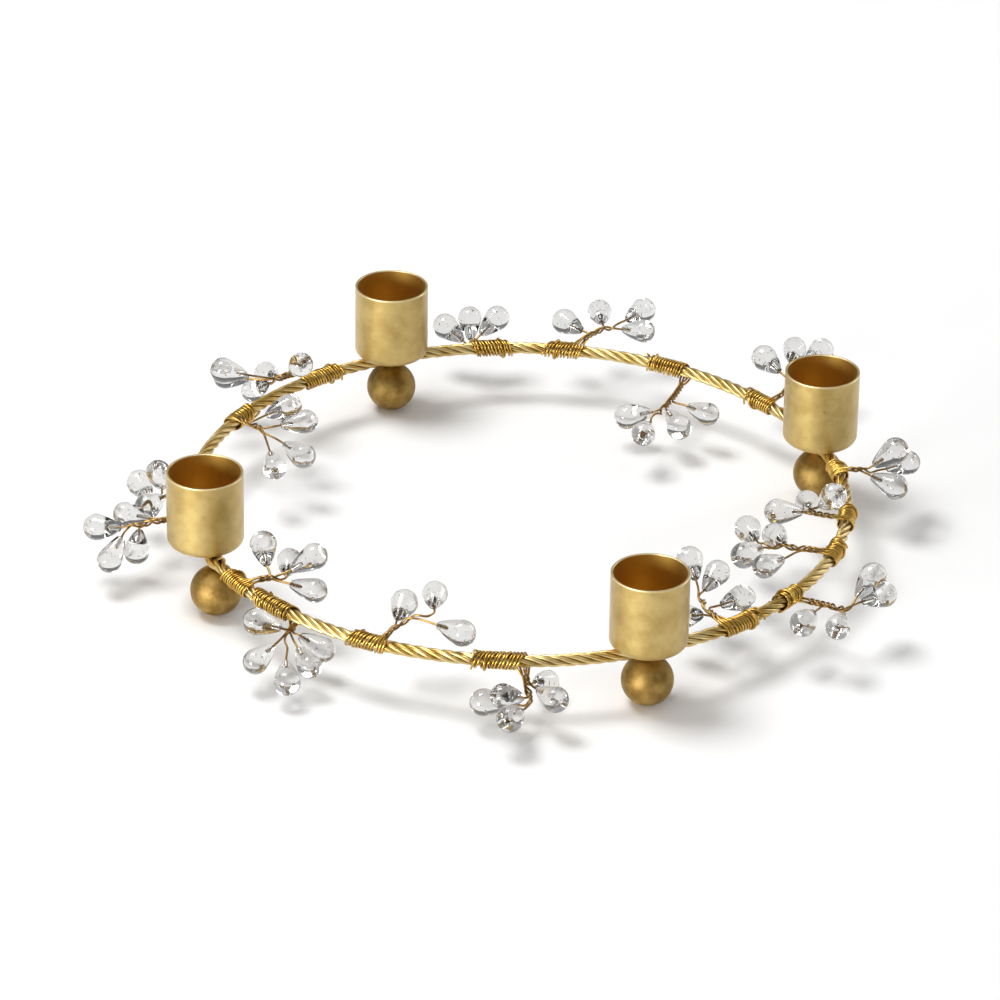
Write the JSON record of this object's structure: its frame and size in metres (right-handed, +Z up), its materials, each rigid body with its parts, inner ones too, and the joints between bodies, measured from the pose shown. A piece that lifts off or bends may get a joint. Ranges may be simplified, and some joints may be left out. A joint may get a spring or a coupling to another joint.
{
  "type": "candle ring",
  "caption": "Free-standing ring of twisted brass wire on ball feet, with cups for dinner candles and wired sprigs of clear glass drops.",
  "frame": {"origin": "on the table, under the middle of the ring", "axes": "+Z up; the cups stand close to the +X, +Y, -X and -Y axes of the ring"},
  "size_m": [0.2669, 0.2434, 0.0446],
  "materials": {
    "ring_wire": "bright twisted wire with dark grooves",
    "cup_brass": "satin, lightly mottled, a worn bright rim",
    "foot_brass": "satin, a little darker than the cups",
    "pin_brass": "plain",
    "sprig_wire": "soft drawn wire, bronze to copper",
    "glass": "clear with small bubbles"
  },
  "bodies": {
    "ring_with_cups": {"ring": "ring_wire", "candle_cup_1": "cup_brass", "candle_cup_2": "cup_brass", "candle_cup_3": "cup_brass", "candle_cup_4": "cup_brass", "ball_foot_1": "foot_brass", "ball_foot_2": "foot_brass", "ball_foot_3": "foot_brass", "ball_foot_4": "foot_brass", "cup_rivets": "pin_brass", "foot_pegs": "pin_brass"},
    "sprig_01": {"sprig_01_wires": "sprig_wire", "sprig_01_drops": "glass"},
    "sprig_02": {"sprig_02_wires": "sprig_wire", "sprig_02_drops": "glass"},
    "sprig_03": {"sprig_03_wires": "sprig_wire", "sprig_03_drops": "glass"},
    "sprig_04": {"sprig_04_wires": "sprig_wire", "sprig_04_drops": "glass"},
    "sprig_05": {"sprig_05_wires": "sprig_wire", "sprig_05_drops": "glass"},
    "sprig_06": {"sprig_06_wires": "sprig_wire", "sprig_06_drops": "glass"},
    "sprig_07": {"sprig_07_wires": "sprig_wire", "sprig_07_drops": "glass"},
    "sprig_08": {"sprig_08_wires": "sprig_wire", "sprig_08_drops": "glass"},
    "sprig_09": {"sprig_09_wires": "sprig_wire", "sprig_09_drops": "glass"},
    "sprig_10": {"sprig_10_wires": "sprig_wire", "sprig_10_drops": "glass"},
    "sprig_11": {"sprig_11_wires": "sprig_wire", "sprig_11_drops": "glass"},
    "sprig_12": {"sprig_12_wires": "sprig_wire", "sprig_12_drops": "glass"},
    "sprig_13": {"sprig_13_wires": "sprig_wire", "sprig_13_drops": "glass"},
    "sprig_14": {"sprig_14_wires": "sprig_wire", "sprig_14_drops": "glass"},
    "sprig_15": {"sprig_15_wires": "sprig_wire", "sprig_15_drops": "glass"},
    "sprig_16": {"sprig_16_wires": "sprig_wire", "sprig_16_drops": "glass"},
    "sprig_17": {"sprig_17_wires": "sprig_wire", "sprig_17_drops": "glass"}
  },
  "joints": [
    {"name": "sprig_01_turn", "type": "hinge", "parent": "ring_with_cups", "child": "sprig_01", "pos_m": [-0.03011, 0.0985, 0.01791], "axis": [-0.9563, -0.2924, 0], "range_deg": [-15, 15]},
    {"name": "sprig_02_turn", "type": "hinge", "parent": "ring_with_cups", "child": "sprig_02", "pos_m": [-0.06412, 0.08061, 0.01791], "axis": [-0.7826, -0.6225, 0], "range_deg": [-15, 15]},
    {"name": "sprig_03_turn", "type": "hinge", "parent": "ring_with_cups", "child": "sprig_03", "pos_m": [0.03011, 0.0985, 0.01791], "axis": [-0.9563, 0.2924, 0], "range_deg": [-15, 15]},
    {"name": "sprig_04_turn", "type": "hinge", "parent": "ring_with_cups", "child": "sprig_04", "pos_m": [0.05228, 0.08875, 0.01791], "axis": [-0.8616, 0.5075, 0], "range_deg": [-15, 15]},
    {"name": "sprig_05_turn", "type": "hinge", "parent": "ring_with_cups", "child": "sprig_05", "pos_m": [0.07948, 0.06552, 0.01791], "axis": [-0.6361, 0.7716, 0], "range_deg": [-12, 15]},
    {"name": "sprig_06_turn", "type": "hinge", "parent": "ring_with_cups", "child": "sprig_06", "pos_m": [0.09796, 0.03183, 0.01791], "axis": [-0.309, 0.9511, 0], "range_deg": [-15, 15]},
    {"name": "sprig_07_turn", "type": "hinge", "parent": "ring_with_cups", "child": "sprig_07", "pos_m": [0.10093, -0.02054, 0.01791], "axis": [0.1994, 0.9799, 0], "range_deg": [-15, 15]},
    {"name": "sprig_08_turn", "type": "hinge", "parent": "ring_with_cups", "child": "sprig_08", "pos_m": [0.09052, -0.04915, 0.01791], "axis": [0.4772, 0.8788, 0], "range_deg": [0, 15]},
    {"name": "sprig_09_turn", "type": "hinge", "parent": "ring_with_cups", "child": "sprig_09", "pos_m": [0.07714, -0.06825, 0.01791], "axis": [0.6626, 0.749, 0], "range_deg": [-15, 0]},
    {"name": "sprig_10_turn", "type": "hinge", "parent": "ring_with_cups", "child": "sprig_10", "pos_m": [0.05305, -0.08829, 0.01791], "axis": [0.8572, 0.515, 0], "range_deg": [-15, 15]},
    {"name": "sprig_11_turn", "type": "hinge", "parent": "ring_with_cups", "child": "sprig_11", "pos_m": [0.03183, -0.09796, 0.01791], "axis": [0.9511, 0.309, 0], "range_deg": [-15, 15]},
    {"name": "sprig_12_turn", "type": "hinge", "parent": "ring_with_cups", "child": "sprig_12", "pos_m": [-0.04353, -0.09335, 0.01791], "axis": [0.9063, -0.4226, 0], "range_deg": [-10, 15]},
    {"name": "sprig_13_turn", "type": "hinge", "parent": "ring_with_cups", "child": "sprig_13", "pos_m": [-0.07654, -0.06892, 0.01791], "axis": [0.6691, -0.7431, 0], "range_deg": [-15, 15]},
    {"name": "sprig_14_turn", "type": "hinge", "parent": "ring_with_cups", "child": "sprig_14", "pos_m": [-0.09516, -0.03942, 0.01791], "axis": [0.3827, -0.9239, 0], "range_deg": [-15, 10]},
    {"name": "sprig_15_turn", "type": "hinge", "parent": "ring_with_cups", "child": "sprig_15", "pos_m": [-0.10056, -0.02229, 0.01791], "axis": [0.2164, -0.9763, 0], "range_deg": [-15, 15]},
    {"name": "sprig_16_turn", "type": "hinge", "parent": "ring_with_cups", "child": "sprig_16", "pos_m": [-0.10015, 0.02405, 0.01791], "axis": [-0.2334, -0.9724, 0], "range_deg": [-15, 15]},
    {"name": "sprig_17_turn", "type": "hinge", "parent": "ring_with_cups", "child": "sprig_17", "pos_m": [-0.09373, 0.04271, 0.01791], "axis": [-0.4147, -0.91, 0], "range_deg": [-15, 15]}
  ]
}
